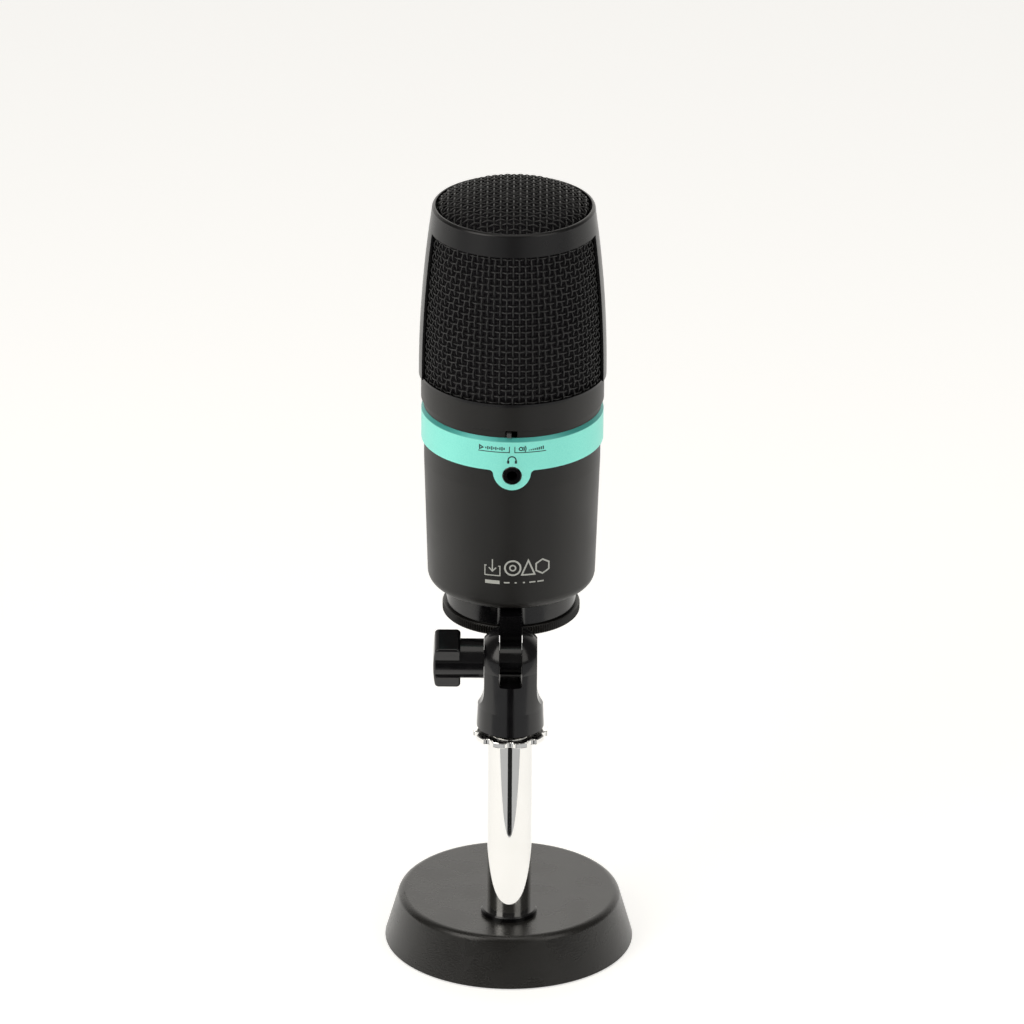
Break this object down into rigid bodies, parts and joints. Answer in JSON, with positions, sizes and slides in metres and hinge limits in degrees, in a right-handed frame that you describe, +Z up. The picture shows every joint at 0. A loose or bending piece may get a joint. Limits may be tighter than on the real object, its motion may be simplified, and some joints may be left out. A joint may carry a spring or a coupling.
{
  "type": "desktop microphone",
  "caption": "Desktop condenser microphone: barrel grille and round body on a tilting swivel bracket, chrome tube stand and weighted round base.",
  "frame": {"origin": "middle of the base's underside, where it rests", "axes": "+Z up, the object's longest way; -Y is the side with the headphone jack and monitor switch; the clamp knob is on -X"},
  "size_m": [0.0884, 0.1002, 0.2795],
  "materials": {
    "pad_rubber": "matt",
    "iron": "as cast",
    "base_paint": "fine-grained satin black",
    "zinc_steel": "bright zinc",
    "black_plastic": "semi-gloss",
    "brass": "turned",
    "chrome": "polished",
    "nylon": "matt",
    "knob_plastic": "semi-gloss",
    "ring_plastic": "satin",
    "body_plastic": "matt",
    "body_paint": "satin warm grey-black",
    "accent_paint": "satin metallic teal",
    "circuit_board": "solder mask",
    "lever_plastic": "matt",
    "clear_plastic": "clear",
    "frame_paint": "satin black",
    "mesh_wire": "satin black wire",
    "foam": "open-cell foam",
    "print_light": "screen print",
    "print_dark": "screen print"
  },
  "bodies": {
    "base": {"base_pad": "pad_rubber", "base_weight": "iron", "base_shell": "base_paint", "foot_bolt": "zinc_steel", "foot_washer": "zinc_steel", "foot_flange": "black_plastic", "tube_plug": "brass", "stand_tube": "chrome"},
    "lock_nut": {"lock_nut": "chrome"},
    "fork": {"swivel_fork": "black_plastic", "thread_insert": "brass", "captive_nut": "zinc_steel", "friction_washers": "nylon"},
    "clamp_knob": {"clamp_knob": "knob_plastic", "clamp_bolt": "zinc_steel"},
    "retaining_ring": {"retaining_ring": "ring_plastic"},
    "switch_lever": {"switch_lever": "lever_plastic"},
    "volume_knob": {"volume_knob": "knob_plastic", "volume_shaft": "zinc_steel"},
    "mute_button": {"mute_button": "knob_plastic"},
    "microphone": {"accent_ring": "accent_paint", "board_bracket": "zinc_steel", "board_chips": "black_plastic", "board_screws": "zinc_steel", "body_mesh": "mesh_wire", "cap_mesh": "mesh_wire", "capsule": "brass", "capsule_cradle": "body_plastic", "capsule_plate": "body_plastic", "capsule_post": "body_plastic", "capsule_screens": "zinc_steel", "collar_washer": "pad_rubber", "control_board": "circuit_board", "cradle_screws": "zinc_steel", "foam_liner": "foam", "grille_frame": "frame_paint", "headphone_jack": "black_plastic", "jack_board": "circuit_board", "jack_bushing": "black_plastic", "light_pipe": "clear_plastic", "lower_band": "body_paint", "lower_housing": "body_paint", "main_board": "circuit_board", "mute_switch": "black_plastic", "neck_screws": "zinc_steel", "shock_bush": "pad_rubber", "switch_body": "black_plastic", "swivel_bracket": "black_plastic", "threaded_neck": "body_plastic", "top_band": "frame_paint", "usb_socket": "zinc_steel", "volume_pot": "zinc_steel"}
  },
  "joints": [
    {"name": "lock_nut_turn", "type": "hinge", "parent": "base", "child": "lock_nut", "pos_m": [0, -0.0175, 0.089], "axis": [0, 0, 1], "continuous": true},
    {"name": "mount_turn", "type": "hinge", "parent": "base", "child": "fork", "pos_m": [0, -0.0175, 0.095], "axis": [0, 0, 1], "range_deg": [-180, 180]},
    {"name": "knob_turn", "type": "hinge", "parent": "fork", "child": "clamp_knob", "pos_m": [0, -0.0175, 0.117], "axis": [1, 0, 0], "range_deg": [-90, 90]},
    {"name": "mic_tilt", "type": "hinge", "parent": "fork", "child": "microphone", "pos_m": [0, -0.0175, 0.117], "axis": [1, 0, 0], "range_deg": [-45, 90]},
    {"name": "ring_turn", "type": "hinge", "parent": "microphone", "child": "retaining_ring", "pos_m": [0, 0.018, 0.1233], "axis": [0, 0, 1], "continuous": true},
    {"name": "monitor_switch", "type": "slide", "parent": "microphone", "child": "switch_lever", "axis": [1, 0, 0], "range_m": [0, 0.002]},
    {"name": "volume_turn", "type": "hinge", "parent": "microphone", "child": "volume_knob", "pos_m": [0, 0.05, 0.163], "axis": [0, 1, 0], "range_deg": [-140, 140]},
    {"name": "mute_press", "type": "slide", "parent": "microphone", "child": "mute_button", "axis": [0, -1, 0], "range_m": [0, 0.0006], "stiffness_N_per_m": 400}
  ]
}
